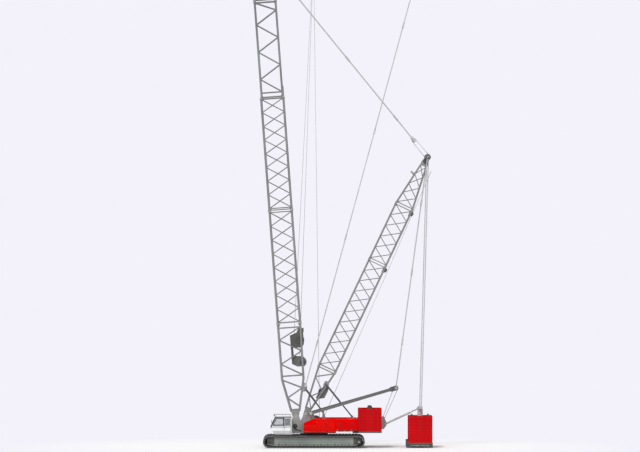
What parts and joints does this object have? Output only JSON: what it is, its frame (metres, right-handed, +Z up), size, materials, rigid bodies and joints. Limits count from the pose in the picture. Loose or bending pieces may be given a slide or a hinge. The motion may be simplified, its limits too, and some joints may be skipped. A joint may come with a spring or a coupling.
{
  "type": "crawler crane",
  "caption": "Lattice boom crawler crane with luffing jib, derrick mast, counterweight and suspended ballast, facing -X, as a 1:10 scale model",
  "frame": {"origin": "on the ground, on the slewing axis, midway between the crawlers", "axes": "+Z up, the crane faces -X, its left side is -Y"},
  "size_m": [2.5163, 0.87, 7.5939],
  "materials": {
    "machine_red": "gloss",
    "weight_red": "satin",
    "lattice_grey": "satin",
    "frame_grey": "satin",
    "winch_green": "satin",
    "track_dark": "rough",
    "crawler_grey": "satin",
    "cab_white": "gloss",
    "tray_dark": "satin",
    "steel": "satin",
    "rope_steel": "satin",
    "cab_glass": "clear",
    "seat_plastic": "matte",
    "hook_yellow": "satin"
  },
  "bodies": {
    "undercarriage": {"car_body": "frame_grey", "slew_ring": "tray_dark", "crawler_frame_left": "crawler_grey", "crawler_frame_right": "crawler_grey", "track_left": "track_dark", "track_right": "track_dark", "rollers_left": "track_dark", "rollers_right": "track_dark", "sprocket_left": "track_dark", "sprocket_right": "track_dark"},
    "upper": {"revolving_frame": "frame_grey", "house_left": "machine_red", "house_right": "machine_red", "counterweight_base": "tray_dark", "counterweight_slabs": "weight_red", "rear_sheaves": "frame_grey", "hoist_winches": "winch_green", "cab_shell": "cab_white", "cab_glass": "cab_glass", "cab_seat": "seat_plastic"},
    "cab_door": {"cab_door": "cab_white", "door_glass": "cab_glass"},
    "boom": {"boom_foot": "lattice_grey", "boom_lower": "lattice_grey", "boom_middle": "lattice_grey", "boom_upper": "lattice_grey", "boom_head": "lattice_grey", "boom_winches": "winch_green", "boom_backstops": "steel", "rear_strut": "lattice_grey", "rear_strut_guys": "steel"},
    "boom_stay": {"boom_stays": "steel"},
    "stay_fall": {"stay_ropes": "rope_steel"},
    "jib": {"jib_foot": "lattice_grey", "jib_middle": "lattice_grey", "jib_head": "lattice_grey", "front_strut": "lattice_grey", "jib_guys": "steel"},
    "hoist_fall": {"hoist_ropes": "rope_steel"},
    "hook": {"hook_block": "hook_yellow"},
    "mast": {"mast_foot": "lattice_grey", "mast_lower": "lattice_grey", "mast_upper": "lattice_grey", "mast_head": "lattice_grey", "mast_winch": "winch_green", "mast_backstops": "steel", "mast_stays": "steel"},
    "gantry": {"gantry": "lattice_grey", "gantry_ties": "lattice_grey", "gantry_sheaves": "lattice_grey"},
    "ballast": {"ballast_slabs": "weight_red", "ballast_tray": "tray_dark", "ballast_hanger": "frame_grey"},
    "guide_tube": {"guide_tube": "steel"},
    "guide_rod": {"guide_rod": "steel"}
  },
  "joints": [
    {"name": "slew", "type": "hinge", "parent": "undercarriage", "child": "upper", "pos_m": [0, 0, 0.15], "axis": [0, 0, 1], "continuous": true},
    {"name": "door_slide", "type": "slide", "parent": "upper", "child": "cab_door", "axis": [1, 0, 0], "range_m": [0, 0.056]},
    {"name": "boom_luff", "type": "hinge", "parent": "upper", "child": "boom", "pos_m": [-0.19, 0, 0.319], "axis": [0, -1, 0], "range_deg": [0, 21]},
    {"name": "stay_swing", "type": "hinge", "parent": "boom", "child": "boom_stay", "pos_m": [-0.49288, 0, 5.16589], "axis": [0, -1, 0], "range_deg": [0, 4.17]},
    {"name": "stay_slide", "type": "slide", "parent": "boom_stay", "child": "stay_fall", "axis": [0.6315, 0, -0.7754], "range_m": [0, 1.1083]},
    {"name": "jib_luff", "type": "hinge", "parent": "boom", "child": "jib", "pos_m": [-0.5981, 0, 5.23226], "axis": [0, -1, 0], "range_deg": [-1.5, 58]},
    {"name": "hook_swing", "type": "hinge", "parent": "jib", "child": "hoist_fall", "pos_m": [-1.21834, 0, 7.55179], "axis": [0, 1, 0], "range_deg": [-1.5, 79]},
    {"name": "hoist", "type": "slide", "parent": "hoist_fall", "child": "hook", "axis": [0, 0, -1], "range_m": [-0.6, 5.2]},
    {"name": "mast_luff", "type": "hinge", "parent": "upper", "child": "mast", "pos_m": [-0.088, 0, 0.35], "axis": [0, -1, 0], "range_deg": [0, 2.5]},
    {"name": "gantry_luff", "type": "hinge", "parent": "upper", "child": "gantry", "pos_m": [-0.031, 0, 0.361], "axis": [0, -1, 0], "range_deg": [0, 2.76]},
    {"name": "ballast_hang", "type": "hinge", "parent": "mast", "child": "ballast", "pos_m": [1.20738, 0, 3.07807], "axis": [0, -1, 0], "range_deg": [-2.6, 0]},
    {"name": "guide_swing", "type": "hinge", "parent": "upper", "child": "guide_tube", "pos_m": [0.755, 0, 0.244], "axis": [0, -1, 0], "range_deg": [0, 18.67]},
    {"name": "guide_slide", "type": "slide", "parent": "guide_tube", "child": "guide_rod", "axis": [0.9045, 0, 0.4264], "range_m": [-0.0716, 0]}
  ],
  "couplings": [
    {"joint": "stay_swing", "follows": "boom_luff", "ratio": 0.1889},
    {"joint": "stay_slide", "follows": "boom_luff", "m_per_rad": 3.0156},
    {"joint": "gantry_luff", "follows": "mast_luff", "ratio": 1.0645},
    {"joint": "ballast_hang", "follows": "mast_luff", "ratio": -1},
    {"joint": "guide_swing", "follows": "mast_luff", "ratio": 7.349},
    {"joint": "guide_slide", "follows": "mast_luff", "m_per_rad": -1.5948}
  ]
}
